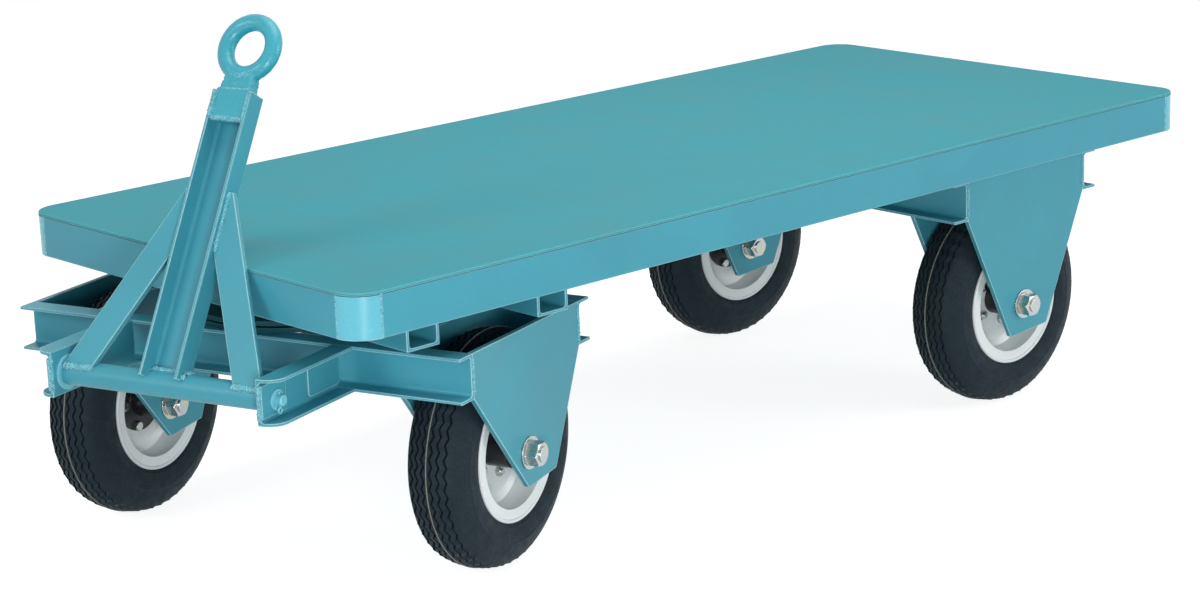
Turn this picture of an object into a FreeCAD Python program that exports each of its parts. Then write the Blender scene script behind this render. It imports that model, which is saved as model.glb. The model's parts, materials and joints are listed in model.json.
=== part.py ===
import FreeCAD, Part
import math
import os

# Industrial tow trailer: a steel deck on four pneumatic wheels. The rear wheels hang in fixed
# plates under the deck. The front wheels hang in a truck that turns on a kingpin and a flat
# turntable, pulled by a folding drawbar with a ring eye.
# Millimetres, +Z up, the drawbar end faces -Y. The origin is on the floor in the middle of the
# overall box. The truck stands steered and the drawbar leans back against the deck.

Vector = FreeCAD.Vector
X_AXIS = Vector(1, 0, 0)
Y_AXIS = Vector(0, 1, 0)
Z_AXIS = Vector(0, 0, 1)

# ---- driving dimensions ----
deck_length = 2089.0
deck_width = 933.0
deck_plate_thickness = 4.8
deck_corner_radius = 51.0
skirt_depth = 76.2
rail_flange = 38.0
rail_wall = 4.8
stringer_spacing = 400.0
cross_member_count = 6

channel_depth = 76.2
channel_flange = 38.0
channel_wall = 5.0
channel_root_radius = 6.0
channel_edge_radius = 1.2

hexagon_face_share = 0.95
hexagon_chamfer = math.tan(math.radians(30))

bolster_width = 66.0
bolster_height = 36.0
bolster_centre_from_kingpin = 137.0
bolster_shift = 41.0
bolster_end_inset = 21.5

tyre_radius = 203.0
tyre_width = 119.0
tyre_wall = 9.0
tyre_widest_share = 0.38
tyre_upper_share = 0.67
tyre_shoulder_drop = 7.0
tread_edge_share = 0.8
tread_crown = 1.2
tread_thickness = 16.0
rim_bead_radius = 101.6
rim_lip_height = 14.4
rim_width = 100.0
rim_wall = 3.0
rim_seat_width = 20.0
rim_well_start = 6.0
rim_well_drop = 2.0
rim_disc_corner = 14.0
hub_length = 92.0
hub_radius = 30.0
hub_flange_radius = 57.0
hub_flange_thickness = 6.0
hub_bore_gap = 4.0
rim_bolt_circle = 96.0
rim_bolt_radius = 5.0
rim_bolt_count = 5
rim_bolt_across_flats = 16.0
rim_bolt_head = 6.5
rim_nut_thickness = 8.0
bearing_width = 15.0
bearing_radius = 24.0

axle_radius = 12.7
axle_head_across_flats = 38.1
axle_head_thickness = 15.5
axle_nut_thickness = 22.0
axle_washer_radius = 28.0
axle_washer_thickness = 4.0
thread_end = 3.0
spacer_radius = 19.0

half_track = 368.0
wheel_side_gap = 6.0
plate_thickness = 9.5
tyre_frame_gap = 13.2
axle_lead = 8.0
rear_axle_setback = 461.5
wheel_clearance = 70.2
plate_foot_drop = 60.0
plate_foot_rise = 8.0
plate_foot_radius = 4.0
rear_foot_front = -38.0
rear_foot_back = 68.0
front_foot_front = -4.0
front_foot_back = 87.0

kingpin_setback = 241.5
kingpin_radius = 19.0
kingpin_head_radius = 34.0
kingpin_head_thickness = 18.0
kingpin_nut_across_flats = 57.0
kingpin_nut_thickness = 24.0
kingpin_thread_end = 8.0
kingpin_boss_radius = 32.0
kingpin_boss_length = 44.0
turntable_radius = 200.0
turntable_thickness = 8.0
wear_ring_inner_radius = 120.0
wear_ring_inset = 15.0
wear_ring_thickness = 3.2
truck_rail_spacing = 300.0
steer_angle = 18.5

ear_spacing = 404.0
ear_nose = 39.0
ear_nose_radius = 30.0
ear_plate_thickness = 5.0
ear_plate_length = 66.0
doubler_length = 88.0
doubler_height = 52.0
doubler_corner_radius = 6.0
hinge_reach = 385.0
hinge_rise = 34.0
hinge_pin_radius = 9.5
hinge_pin_chamfer = 1.5
hinge_pin_end = 12.0
hinge_washer_radius = 29.0
hinge_washer_thickness = 3.0
end_washer_radius = 17.0
cotter_radius = 1.8
cotter_leg = 26.0
cotter_ring_radius = 4.5
pivot_tube_radius = 21.0
bushing_radius = 14.0
bushing_length = 32.0

drawbar_deck_gap = 3.2
tongue_start = 5.0
tongue_end = 492.0
tongue_back = 6.0
brace_thickness = 9.5
brace_width = 50.8
brace_back = -12.5
brace_foot_inset = 4.5
brace_top_overlap = 8.57
brace_top = 322.0
eye_centre = 571.0
eye_section = 29.0
eye_bore_radius = 31.75
eye_land = 8.0
eye_neck_width = 52.0
eye_throat_width = 44.0
eye_neck_lift = 4.0
eye_neck_flare = 8.0
eye_shank_width = 40.0
eye_shank_length = 95.0

# ---- clearances ----
hair = 0.01
running_clearance = 0.05
bolt_clearance = 0.4
weld_gap = 0.2
face_gap = 0.3
pin_hole_clearance = 0.2
rim_fit = 0.2

# ---- heights and places that follow ----
kingpin_y = kingpin_setback - deck_length / 2
rear_axle_y = deck_length / 2 - rear_axle_setback
skirt_bottom = 2 * tyre_radius + wheel_clearance
deck_height = skirt_bottom + skirt_depth
plate_bottom = deck_height - deck_plate_thickness
rail_depth = skirt_depth - deck_plate_thickness
stringer_bottom = plate_bottom - channel_depth
rear_channel_bottom = stringer_bottom - channel_depth
bolster_bottom = stringer_bottom - bolster_height
upper_plate_bottom = bolster_bottom - turntable_thickness
wear_ring_bottom = upper_plate_bottom - wear_ring_thickness
truck_top = wear_ring_bottom - turntable_thickness
truck_bottom = truck_top - channel_depth
hinge_z = truck_bottom + hinge_rise
plate_foot_z = tyre_radius - plate_foot_drop
rim_lip_radius = rim_bead_radius + rim_lip_height
bolster_length = deck_width - 2 * bolster_end_inset
outer_plate_face = half_track + tyre_width / 2 + wheel_side_gap + plate_thickness
inner_plate_face = half_track - tyre_width / 2 - wheel_side_gap - plate_thickness
tyre_chord = math.sqrt(tyre_radius ** 2 - (truck_bottom - tyre_radius) ** 2)
frame_spread = 2 * (tyre_chord + tyre_frame_gap + axle_lead)
web_face_y = frame_spread / 2 + channel_wall
steer = math.radians(steer_angle)
ear_nose_y = hinge_reach + ear_nose
brace_foot_outer = ear_spacing / 2 - brace_foot_inset
brace_top_outer = channel_depth / 2 + brace_top_overlap
ear_outer_x = ear_spacing / 2 + channel_flange
lean_corner = (kingpin_setback + drawbar_deck_gap + channel_depth / 2 * math.sin(steer)) / math.cos(steer)
lean_reach = hinge_reach - lean_corner
lean_rise = deck_height - hinge_z
drawbar_lean = math.degrees(math.acos(tongue_back / math.hypot(lean_reach, lean_rise))
                            - math.atan2(lean_rise, lean_reach))
foremost_y = kingpin_y - ear_outer_x * math.sin(steer) - ear_nose_y * math.cos(steer)
deck_centre_y = -(deck_length / 2 + foremost_y) / 2


# ---- shapes used by several pieces ----
def prism(points, direction):
    """A closed outline of straight sides, pushed along a direction."""
    corners = [Vector(*point) for point in points]
    face = Part.Face(Part.makePolygon(corners + corners[:1]))
    return face.extrude(Vector(*direction))


def box(low, high):
    """A box between its lowest and highest corners."""
    size = [b - a for a, b in zip(low, high)]
    return Part.makeBox(size[0], size[1], size[2], Vector(*low))


def rod(radius, start, end):
    """A round bar from one point to another."""
    start, end = Vector(*start), Vector(*end)
    return Part.makeCylinder(radius, (end - start).Length, start, end - start)


def ring(outer, inner, start, end):
    """A round bar with a round hole through it."""
    return rod(outer, start, end).cut(rod(inner, start, end))


def rounded(shape, radius, chosen):
    """The shape with a fillet on the straight edges that the test chooses."""
    edges = [edge for edge in shape.Edges if chosen(edge)]
    return shape.makeFillet(radius, edges)


def runs_along(edge, axis):
    """True for a straight edge that lies along an axis."""
    if not isinstance(edge.Curve, Part.Line):
        return False
    return abs(edge.tangentAt(edge.FirstParameter).dot(axis)) > 0.999


def channel(length, depth=channel_depth, flange=channel_flange, wall=channel_wall,
            root=channel_root_radius):
    """A rolled channel along +X from the origin: the web's back on y=0, toes to +Y, z upwards."""
    profile = [(0, 0, 0), (0, flange, 0), (0, flange, wall), (0, wall, wall),
               (0, wall, depth - wall), (0, flange, depth - wall), (0, flange, depth), (0, 0, depth)]
    body = prism(profile, (length, 0, 0))

    def is_root(edge):
        middle = edge.CenterOfMass
        on_web = abs(middle.y - wall) < hair
        on_flange = min(abs(middle.z - wall), abs(middle.z - depth + wall)) < hair
        return runs_along(edge, X_AXIS) and on_web and on_flange

    body = rounded(body, root, is_root)

    def is_outer(edge):
        middle = edge.CenterOfMass
        back = middle.y < hair
        tip = middle.y > flange - hair
        ends = min(abs(middle.z), abs(middle.z - depth)) < hair
        return runs_along(edge, X_AXIS) and ends and (back or tip)

    return rounded(body, channel_edge_radius, is_outer)


def hexagon(across_flats, thickness):
    """A hexagonal prism along +X from x=0, the corners of its far face taken off by a cone."""
    radius = across_flats / math.sqrt(3)
    corners = [(0, radius * math.cos(math.radians(60 * k)), radius * math.sin(math.radians(60 * k)))
               for k in range(6)]
    face_radius = hexagon_face_share * across_flats / 2
    cone = Part.makeCone(face_radius + thickness / hexagon_chamfer, face_radius, thickness,
                         Vector(0, 0, 0), X_AXIS)
    return prism(corners, (thickness, 0, 0)).common(cone)


def placed(shape, turn=0.0, axis=Z_AXIS, move=(0, 0, 0)):
    """A copy turned about an axis through the origin and then moved."""
    copy = shape.copy()
    copy.rotate(Vector(0, 0, 0), axis, turn)
    copy.translate(Vector(*move))
    return copy


def on_deck(shape):
    """From coordinates about the deck's centre to the part's own frame."""
    return placed(shape, move=(0, deck_centre_y, 0))


def on_truck(shape):
    """From coordinates about the kingpin, truck straight ahead, to the part's own frame."""
    return placed(shape, turn=steer_angle, move=(0, kingpin_y + deck_centre_y, 0))


def on_drawbar(shape):
    """From coordinates about the hinge, drawbar upright, to the part's own frame."""
    leaning = placed(shape, turn=-drawbar_lean, axis=X_AXIS, move=(0, -hinge_reach, hinge_z))
    return on_truck(leaning)


# ---- deck ----
def deck_plate():
    half_x, half_y = deck_width / 2, deck_length / 2
    plate = box((-half_x, -half_y, plate_bottom), (half_x, half_y, deck_height))
    plate = rounded(plate, deck_corner_radius, lambda edge: runs_along(edge, Z_AXIS))
    top = [edge for edge in plate.Edges if edge.BoundBox.ZMin > deck_height - hair]
    return plate.makeFillet(channel_edge_radius, top)


def deck_rail(length):
    """A formed channel along X, its web's back on y=0 and toes to +Y, centred on x=0."""
    rail = channel(length, rail_depth, rail_flange, rail_wall)
    return placed(rail, move=(-length / 2, 0, skirt_bottom))


def side_rails():
    rail = deck_rail(deck_length - 2 * deck_corner_radius)
    left = placed(rail, turn=90, move=(deck_width / 2, 0, 0))
    return [left, placed(left, turn=180)]


def end_rails():
    front = placed(deck_rail(deck_width - 2 * deck_corner_radius), move=(0, -deck_length / 2, 0))
    return [front, placed(front, turn=180)]


def deck_corners():
    """Quarter rounds that close the gap between the side rails and the end rails."""
    pieces = []
    for side, end in ((1, -1), (1, 1), (-1, 1), (-1, -1)):
        x = side * (deck_width / 2 - deck_corner_radius)
        y = end * (deck_length / 2 - deck_corner_radius)
        foot, head = (x, y, skirt_bottom), (x, y, plate_bottom)
        tube = ring(deck_corner_radius, deck_corner_radius - rail_wall, foot, head)
        reach = deck_corner_radius + 1
        far_x, far_y = x + side * reach, y + end * reach
        quarter = box((min(x, far_x), min(y, far_y), skirt_bottom),
                      (max(x, far_x), max(y, far_y), plate_bottom))
        pieces.append(tube.common(quarter))
    return pieces


def deck_stringers():
    """Two channels the length of the deck, toes to the middle, under the plate."""
    length = deck_length - 2 * rail_flange
    stringer = placed(channel(length), move=(-length / 2, 0, stringer_bottom))
    left = placed(stringer, turn=90, move=(stringer_spacing / 2, 0, 0))
    return [left, placed(left, turn=180)]


def deck_cross_members():
    """Short formed channels across the deck, outside and between the stringers."""
    first = -deck_length / 2 + rail_flange + rail_wall
    last = deck_length / 2 - rail_flange - 2 * rail_flange
    step = (last - first) / (cross_member_count - 1)
    toe = deck_width / 2 - rail_flange
    spans = [(-toe, -stringer_spacing / 2),
             (-stringer_spacing / 2 + channel_flange, stringer_spacing / 2 - channel_flange),
             (stringer_spacing / 2, toe)]
    pieces = []
    for k in range(cross_member_count):
        for low, high in spans:
            member = channel(high - low, rail_depth, rail_flange, rail_wall)
            pieces.append(placed(member, move=(low, first + k * step, skirt_bottom)))
    return pieces


# ---- rear axle frame ----
def wheel_plate(face_x, top, corner_z, foot_front, foot_back):
    """One plate that carries an axle bolt: coordinates about the axle, inboard face on face_x."""
    front = -frame_spread / 2 + axle_lead
    back = frame_spread / 2 + axle_lead
    outline = [(front, top), (front, corner_z), (foot_front, plate_foot_z),
               (foot_back, plate_foot_z + plate_foot_rise), (back, corner_z), (back, top)]
    plate = prism([(face_x, y, z) for y, z in outline], (plate_thickness, 0, 0))

    def is_foot(edge):
        low = edge.BoundBox.ZMax < plate_foot_z + plate_foot_rise + hair
        return runs_along(edge, X_AXIS) and low

    plate = rounded(plate, plate_foot_radius, is_foot)
    hole = rod(axle_radius + bolt_clearance, (face_x - 1, 0, tyre_radius),
               (face_x + plate_thickness + 1, 0, tyre_radius))
    return plate.cut(hole)


def wheel_plates(top, corner_z, foot_front, foot_back):
    """The two plates of the left wheel and the two of the right, about the axle's middle."""
    faces = [outer_plate_face - plate_thickness, inner_plate_face,
             -inner_plate_face - plate_thickness, -outer_plate_face]
    return [wheel_plate(face, top, corner_z, foot_front, foot_back) for face in faces]


def frame_channel(toes, bottom):
    """A channel across the frame whose toes point to -Y (toes=-1) or +Y (toes=1)."""
    length = 2 * outer_plate_face
    piece = placed(channel(length), move=(-length / 2, 0, bottom))
    if toes < 0:
        piece = placed(piece, turn=180)
    return placed(piece, move=(0, toes * frame_spread / 2, 0))


def axle_bolts():
    """A bolt through each pair of plates, head towards -X: about the axle's middle."""
    pieces = []
    for middle in (half_track, -half_track):
        reach = tyre_width / 2 + wheel_side_gap + plate_thickness
        start = middle - reach
        end = middle + reach + axle_washer_thickness + axle_nut_thickness + thread_end
        shank = rod(axle_radius, (start, 0, tyre_radius), (end, 0, tyre_radius))
        head = placed(hexagon(axle_head_across_flats, axle_head_thickness), turn=180)
        pieces.append(shank.fuse(placed(head, move=(start, 0, tyre_radius))).removeSplitter())
    return pieces


def axle_nuts():
    """A washer and a nut on each axle bolt, outside the plate that faces +X."""
    pieces = []
    for middle in (half_track, -half_track):
        face = middle + tyre_width / 2 + wheel_side_gap + plate_thickness
        back = face + axle_washer_thickness
        bore = axle_radius + running_clearance
        centre = (face, 0, tyre_radius)
        pieces.append(ring(axle_washer_radius, bore, centre, (back, 0, tyre_radius)))
        nut = placed(hexagon(axle_head_across_flats, axle_nut_thickness), move=(back, 0, tyre_radius))
        pieces.append(nut.cut(rod(bore, centre, (back + axle_nut_thickness + 1, 0, tyre_radius))))
    return pieces


def axle_spacers():
    """Sleeves on the axle bolts between the plates and the hub bearings."""
    pieces = []
    for middle in (half_track, -half_track):
        for side in (-1, 1):
            near = middle + side * (hub_length / 2 + face_gap)
            far = middle + side * (tyre_width / 2 + wheel_side_gap)
            pieces.append(ring(spacer_radius, axle_radius + running_clearance,
                               (near, 0, tyre_radius), (far, 0, tyre_radius)))
    return pieces


# ---- bolsters and turntable, about the kingpin ----
def bolster_channels():
    """Two channels laid on their webs, toes up against the stringers."""
    flat = channel(bolster_length, bolster_width, bolster_height, channel_wall)
    flat = placed(flat, turn=90, axis=X_AXIS, move=(-bolster_length / 2, bolster_width / 2, bolster_bottom))
    return [placed(flat, move=(0, bolster_shift + side * bolster_centre_from_kingpin, 0))
            for side in (-1, 1)]


def turntable_upper_plate():
    return ring(turntable_radius, kingpin_radius + running_clearance,
                (0, 0, upper_plate_bottom), (0, 0, bolster_bottom))


def wear_ring():
    return ring(turntable_radius - wear_ring_inset, wear_ring_inner_radius,
                (0, 0, wear_ring_bottom), (0, 0, upper_plate_bottom))


def turntable_lower_plate():
    """The lower plate with the boss that guides the kingpin."""
    disc = rod(turntable_radius, (0, 0, truck_top), (0, 0, wear_ring_bottom))
    boss = rod(kingpin_boss_radius, (0, 0, truck_top - kingpin_boss_length), (0, 0, truck_top))
    hole = rod(kingpin_radius + running_clearance, (0, 0, truck_bottom), (0, 0, deck_height))
    return disc.fuse(boss).cut(hole).removeSplitter()


def kingpin():
    nut_top = truck_top - kingpin_boss_length - face_gap
    foot = nut_top - kingpin_nut_thickness - kingpin_thread_end
    shank = rod(kingpin_radius, (0, 0, foot), (0, 0, bolster_bottom))
    head = rod(kingpin_head_radius, (0, 0, bolster_bottom), (0, 0, bolster_bottom + kingpin_head_thickness))
    return shank.fuse(head).removeSplitter()


def kingpin_nut():
    top = truck_top - kingpin_boss_length - face_gap
    blank = hexagon(kingpin_nut_across_flats, kingpin_nut_thickness)
    nut = placed(blank, turn=90, axis=Y_AXIS, move=(0, 0, top))
    hole = rod(kingpin_radius + running_clearance, (0, 0, top - kingpin_nut_thickness - 1), (0, 0, top + 1))
    return nut.cut(hole)


# ---- truck ----
def truck_rails():
    """Two channels between the truck's cross channels, toes to the middle."""
    rail = placed(channel(frame_spread), move=(-frame_spread / 2, 0, truck_bottom))
    left = placed(rail, turn=90, move=(truck_rail_spacing / 2, 0, 0))
    return [left, placed(left, turn=180)]


def drawbar_ear(side):
    """A channel stub, toes outwards, with a rounded nose and a hole for the hinge pin."""
    back = web_face_y + channel_flange - channel_wall
    length = ear_nose_y - back
    stub = placed(channel(length), turn=-90, move=(ear_spacing / 2, -back, truck_bottom))
    nose = -ear_nose_y
    tip = ear_spacing / 2 + channel_flange
    scrap = box((tip - ear_nose_radius, nose, truck_bottom), (tip, nose + ear_nose_radius, truck_top))
    keep = rod(ear_nose_radius, (tip - ear_nose_radius, nose + ear_nose_radius, truck_bottom),
               (tip - ear_nose_radius, nose + ear_nose_radius, truck_top))
    stub = stub.cut(scrap.cut(keep))
    if side < 0:
        stub = stub.mirror(Vector(0, 0, 0), X_AXIS)
    return stub.cut(hinge_hole())


def hinge_hole():
    reach = ear_outer_x + 10
    bore = hinge_pin_radius + pin_hole_clearance
    return rod(bore, (-reach, -hinge_reach, hinge_z), (reach, -hinge_reach, hinge_z))


def ear_plates():
    """On each ear's web: a boss plate round the pin and a doubler next to the truck channel."""
    inside = ear_spacing / 2 + channel_wall
    room = channel_wall + channel_root_radius
    back = web_face_y + channel_flange - channel_wall
    low, high = truck_bottom + room, truck_top - room
    boss = box((inside, -ear_nose_y, low),
               (inside + ear_plate_thickness, -ear_nose_y + ear_plate_length, high))
    middle = (truck_bottom + truck_top) / 2
    doubler = box((inside, -back - doubler_length, middle - doubler_height / 2),
                  (inside + ear_plate_thickness, -back, middle + doubler_height / 2))
    doubler = rounded(doubler, doubler_corner_radius, lambda edge: runs_along(edge, X_AXIS))
    left = [boss.cut(hinge_hole()), doubler]
    return left + [piece.mirror(Vector(0, 0, 0), X_AXIS) for piece in left]


def hinge_pin():
    reach = ear_spacing / 2 + channel_wall + ear_plate_thickness + hinge_washer_thickness + hinge_pin_end
    pin = rod(hinge_pin_radius, (-reach, -hinge_reach, hinge_z), (reach, -hinge_reach, hinge_z))
    for side in (-1, 1):
        x = side * cotter_x()
        pin = pin.cut(rod(cotter_radius + pin_hole_clearance, (x, -hinge_reach, hinge_z - 20),
                          (x, -hinge_reach, hinge_z + 20)))
    return pin.makeChamfer(hinge_pin_chamfer, [edge for edge in pin.Edges if is_end_circle(edge, reach)])


def is_end_circle(edge, reach):
    flat = edge.BoundBox.XLength < hair
    return flat and abs(abs(edge.CenterOfMass.x) - reach) < hair


def cotter_x():
    return ear_spacing / 2 + channel_wall + ear_plate_thickness + hinge_washer_thickness + cotter_radius + 1


def hinge_washers():
    """Wide washers between the tube and the ears, and small ones outside the boss plates."""
    pieces = []
    bore = hinge_pin_radius + running_clearance
    web = ear_spacing / 2
    outside = web + channel_wall + ear_plate_thickness
    for side in (-1, 1):
        for start, radius in ((web - hinge_washer_thickness, hinge_washer_radius),
                              (outside, end_washer_radius)):
            low = (side * start, -hinge_reach, hinge_z)
            high = (side * (start + hinge_washer_thickness), -hinge_reach, hinge_z)
            pieces.append(ring(radius, bore, low, high))
    return pieces


def hinge_cotters():
    """A cotter through each end of the pin: a straight leg with a ring below it."""
    pieces = []
    for side in (-1, 1):
        x = side * cotter_x()
        foot = hinge_z - cotter_leg / 2
        leg = rod(cotter_radius, (x, -hinge_reach, foot), (x, -hinge_reach, foot + cotter_leg))
        centre = Vector(x, -hinge_reach, foot - cotter_ring_radius)
        loop = Part.makeTorus(cotter_ring_radius, cotter_radius, centre, X_AXIS)
        pieces.append(leg.fuse(loop))
    return pieces


# ---- drawbar, about the hinge, upright ----
def tube_space():
    """The space that the pivot tube fills, with the gap that a weld bridges."""
    reach = ear_spacing
    return rod(pivot_tube_radius + weld_gap, (-reach, 0, 0), (reach, 0, 0))


def tube_half_length():
    return ear_spacing / 2 - hinge_washer_thickness - face_gap


def pivot_tube():
    reach = tube_half_length()
    return ring(pivot_tube_radius, bushing_radius, (-reach, 0, 0), (reach, 0, 0))


def pivot_bushings():
    reach = tube_half_length()
    bore = hinge_pin_radius + running_clearance
    return [ring(bushing_radius, bore, (side * (reach - bushing_length), 0, 0), (side * reach, 0, 0))
            for side in (-1, 1)]


def tongue_channel():
    """The middle channel: web towards the deck, toes forward, its foot cut to the tube."""
    bar = placed(channel(tongue_end - tongue_start), turn=-90, axis=Y_AXIS)
    bar = placed(bar, turn=180, move=(-channel_depth / 2, tongue_back, tongue_start))
    centre = bar.BoundBox.Center
    bar.translate(Vector(-centre.x, 0, 0))
    return bar.cut(tube_space())


def brace(side):
    """A flat bar from the tube's end up to the side of the tongue channel."""
    inner_edge = channel_depth / 2 + weld_gap
    foot = tongue_start
    slope = (brace_foot_outer - brace_top_outer) / (brace_top - foot)
    foot_inner = brace_foot_outer - brace_width / math.cos(math.atan(slope))
    meet = foot + (foot_inner - inner_edge) / slope
    outline = [(brace_foot_outer, foot), (foot_inner, foot), (inner_edge, meet), (inner_edge, brace_top),
               (brace_top_outer, brace_top)]
    bar = prism([(x, brace_back, z) for x, z in outline], (0, -brace_thickness, 0))
    if side < 0:
        bar = bar.mirror(Vector(0, 0, 0), X_AXIS)
    return bar.cut(tube_space())


def lunette_eye():
    """A forged round ring, bored to size, on a flat shank that lies inside the tongue channel."""
    half = eye_section / 2
    middle_y = tongue_back - channel_wall - weld_gap - half
    centre_radius = eye_bore_radius + math.sqrt(half ** 2 - (eye_land / 2) ** 2)
    loop = Part.makeTorus(centre_radius, half, Vector(0, 0, 0), Y_AXIS)
    loop = loop.cut(rod(eye_bore_radius, (0, -eye_section, 0), (0, eye_section, 0)))
    neck_foot = tongue_end + eye_neck_lift - eye_centre
    shank_foot = neck_foot - eye_shank_length
    side = [(eye_shank_width / 2, shank_foot), (eye_shank_width / 2, neck_foot - eye_neck_flare),
            (eye_neck_width / 2, neck_foot), (eye_throat_width / 2, -centre_radius)]
    outline = side + [(-x, z) for x, z in reversed(side)]
    stem = prism([(x, -half, z) for x, z in outline], (0, eye_section, 0))
    return placed(loop.fuse(stem).removeSplitter(), move=(0, middle_y, eye_centre))


# ---- wheels, about their own centre, outer side to +X ----
def tyre():
    """A hollow tyre: a horseshoe section turned about the axle."""
    half = tyre_width / 2
    bead = rim_width / 2 - rim_wall - rim_fit
    seat = rim_bead_radius + rim_fit
    section_height = tyre_radius - rim_lip_radius
    widest = rim_lip_radius + tyre_widest_share * section_height
    upper = rim_lip_radius + tyre_upper_share * section_height
    outer = [(bead, seat), (bead, rim_lip_radius + 1),
             (half, widest), (half - tyre_shoulder_drop / 2, upper),
             (tread_edge_share * half, tyre_radius - tyre_shoulder_drop),
             (tread_edge_share * half / 2, tyre_radius - tread_crown), (0, tyre_radius)]
    inner = [(0, tyre_radius - tread_thickness),
             (tread_edge_share * half - tyre_wall, tyre_radius - tread_thickness - tread_crown),
             (half - tyre_wall, widest + tyre_wall / 2), (bead - tyre_wall, rim_lip_radius + tyre_wall / 2),
             (bead - tyre_wall, seat)]
    mirrored_outer = [(-x, r) for x, r in reversed(outer[:-1])]
    mirrored_inner = [(-x, r) for x, r in reversed(inner[1:])]
    return turned(outer + mirrored_outer + mirrored_inner + inner)


def turned(outline):
    """A closed outline of (x, radius) points turned about the X axis."""
    corners = [Vector(x, 0, r) for x, r in outline]
    face = Part.Face(Part.makePolygon(corners + corners[:1]))
    return face.revolve(Vector(0, 0, 0), X_AXIS, 360)


def rim_half(side):
    """One pressed half of the split rim, its disc against the middle of the wheel."""
    lip = rim_width / 2
    hole = hub_radius + face_gap
    skin = [(0, hole), (0, rim_bead_radius - rim_disc_corner),
            (rim_well_start, rim_bead_radius - rim_well_drop),
            (lip - rim_seat_width, rim_bead_radius), (lip - rim_wall, rim_bead_radius),
            (lip - rim_wall, rim_lip_radius)]
    middle = [(x + rim_wall, r - rim_wall) for x, r in skin[1:-1]]
    back = [(rim_wall, hole)] + middle + [(lip, rim_lip_radius)]
    half = turned([(side * x, r) for x, r in skin + back[::-1]])
    return half.cut(bolt_holes(rim_bolt_radius + bolt_clearance))


def bolt_holes(radius):
    holes = [rod(radius, place(-30), place(30)) for place in bolt_places()]
    return Part.makeCompound(holes)


def bolt_places():
    """A function of x for each rim bolt, giving the point on its axis."""
    places = []
    for k in range(rim_bolt_count):
        angle = 2 * math.pi * k / rim_bolt_count
        y = rim_bolt_circle / 2 * math.cos(angle)
        z = rim_bolt_circle / 2 * math.sin(angle)
        places.append(lambda x, y=y, z=z: (x, y, z))
    return places


def hub():
    """The hub barrel with its bolting flange, which sits against the inner rim half."""
    barrel = rod(hub_radius, (-hub_length / 2, 0, 0), (hub_length / 2, 0, 0))
    face = -rim_wall
    flange = rod(hub_flange_radius, (face - hub_flange_thickness, 0, 0), (face, 0, 0))
    body = barrel.fuse(flange).cut(rod(axle_radius + hub_bore_gap, (-hub_length, 0, 0), (hub_length, 0, 0)))
    for side in (-1, 1):
        pocket = rod(bearing_radius, (side * (hub_length / 2 - bearing_width), 0, 0),
                     (side * hub_length, 0, 0))
        body = body.cut(pocket)
    return body.cut(bolt_holes(rim_bolt_radius + bolt_clearance)).removeSplitter()


def hub_bearings():
    return [ring(bearing_radius, axle_radius + running_clearance,
                 (side * (hub_length / 2 - bearing_width), 0, 0), (side * hub_length / 2, 0, 0))
            for side in (-1, 1)]


def rim_bolts():
    """Bolts through the hub flange and both rim discs, each with its nut on the outer side."""
    pieces = []
    inner_face = -rim_wall - hub_flange_thickness
    for place in bolt_places():
        thread_tip = rim_wall + rim_nut_thickness + thread_end
        shank = rod(rim_bolt_radius, place(inner_face), place(thread_tip))
        head = placed(hexagon(rim_bolt_across_flats, rim_bolt_head), turn=180, move=place(inner_face))
        nut = placed(hexagon(rim_bolt_across_flats, rim_nut_thickness), move=place(rim_wall))
        nut = nut.cut(rod(rim_bolt_radius + running_clearance, place(0), place(thread_tip)))
        pieces += [shank.fuse(head).removeSplitter(), nut]
    return pieces


def wheel_parts():
    return {"tyre": tyre(), "rim_outer": rim_half(1), "rim_inner": rim_half(-1), "hub": hub(),
            "bearings": hub_bearings(), "rim_bolts": rim_bolts()}


# ---- assembly ----
def moved(pieces, place):
    """One shape of one or several solids, each put in its place."""
    shapes = pieces if isinstance(pieces, list) else [pieces]
    solids = [solid for shape in shapes for solid in place(shape).Solids]
    return solids[0] if len(solids) == 1 else Part.makeCompound(solids)


def at_rear_axle(shape):
    return on_deck(placed(shape, move=(0, rear_axle_y, 0)))


def at_rear_frame(shape):
    return on_deck(placed(shape, move=(0, rear_axle_y + axle_lead, 0)))


def at_front_axle(shape):
    return on_truck(placed(shape, move=(0, -axle_lead, 0)))


def at_turntable(shape):
    return on_deck(placed(shape, move=(0, kingpin_y, 0)))


def wheel_place(axle, side):
    """Where a wheel goes: its outer side faces away from the middle of the trailer."""
    turn = 0 if side > 0 else 180
    return lambda shape: axle(placed(shape, turn=turn, move=(side * half_track, 0, tyre_radius)))


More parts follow.
